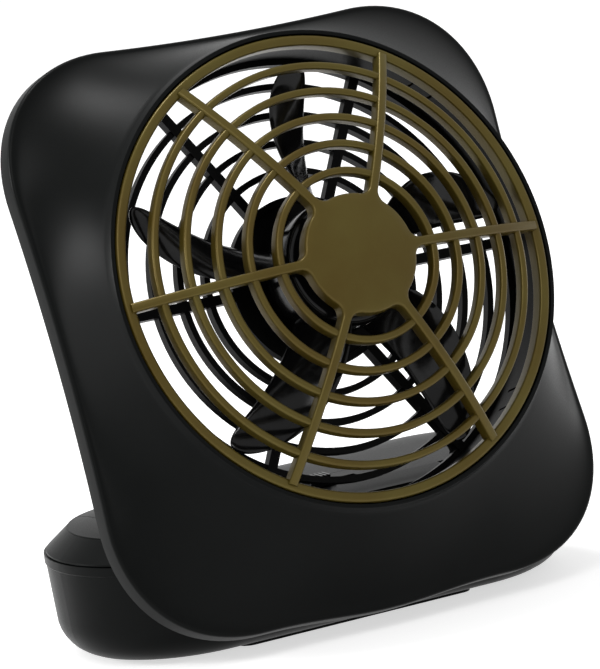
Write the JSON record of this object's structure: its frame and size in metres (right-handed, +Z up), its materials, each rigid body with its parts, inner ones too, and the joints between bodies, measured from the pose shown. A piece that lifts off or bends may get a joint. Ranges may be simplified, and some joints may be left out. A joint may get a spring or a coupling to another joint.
{
  "type": "folding battery camping fan",
  "caption": "Folding battery camping fan: dished square head with domed ring guard, bladed rotor and motor, tilting on a battery base with hinged lid and slide switch.",
  "frame": {"origin": "centre of the base's underside, on the table", "axes": "+Z up, +X to the right along the tilt hinge, +Y to the back; the fan blows toward -Y, 20 degrees upward"},
  "size_m": [0.1702, 0.0969, 0.1744],
  "materials": {
    "black_shell": "fine satin texture",
    "olive_guard": "metallic olive gold, satin",
    "gloss_black": "gloss",
    "zinc_steel": "zinc plated",
    "motor_steel": "satin",
    "cream_plastic": "satin",
    "ferrite": "dull",
    "bronze": "sintered",
    "copper_winding": "varnished",
    "lead_insulation": "soft satin",
    "washer_nylon": "satin",
    "cell_jacket": "satin jacket",
    "switch_black": "dull",
    "ceramic": "dull",
    "foot_rubber": "matt"
  },
  "bodies": {
    "base": {"base_lower_shell": "black_shell", "base_upper_shell": "black_shell", "lid_hinge_pins": "zinc_steel", "hinge_pins": "zinc_steel", "friction_washers": "washer_nylon", "cell_left": "cell_jacket", "cell_right": "cell_jacket", "cell_spring": "zinc_steel", "spring_plate": "zinc_steel", "contact_plate": "zinc_steel", "switch_body": "switch_black", "speed_resistor": "ceramic", "base_leads": "lead_insulation", "base_screws": "zinc_steel", "foot_pads": "foot_rubber"},
    "head": {"front_bezel": "black_shell", "front_guard": "olive_guard", "rear_housing": "black_shell", "housing_screws": "zinc_steel", "motor_can": "motor_steel", "motor_end_cap": "cream_plastic", "motor_magnets": "ferrite", "motor_bearings": "bronze", "motor_brushes": "bronze", "motor_clamp": "gloss_black", "head_leads": "lead_insulation"},
    "rotor": {"motor_shaft": "motor_steel", "motor_armature": "copper_winding", "commutator": "copper_winding", "fan_rotor": "gloss_black"},
    "lid": {"battery_lid": "black_shell"},
    "switch": {"switch_knob": "gloss_black"}
  },
  "joints": [
    {"name": "head_tilt", "type": "hinge", "parent": "base", "child": "head", "pos_m": [0, -0.0224, 0.0415], "axis": [-1, 0, 0], "range_deg": [-2, 70]},
    {"name": "fan_spin", "type": "hinge", "parent": "head", "child": "rotor", "pos_m": [0, -0.0325, 0.107], "axis": [0, -0.9397, 0.342], "continuous": true},
    {"name": "lid_open", "type": "hinge", "parent": "base", "child": "lid", "pos_m": [0, 0.0378, 0.0317], "axis": [-1, 0, 0], "range_deg": [0, 180]},
    {"name": "switch_slide", "type": "slide", "parent": "base", "child": "switch", "axis": [1, 0, 0], "range_m": [0, 0.008]}
  ]
}
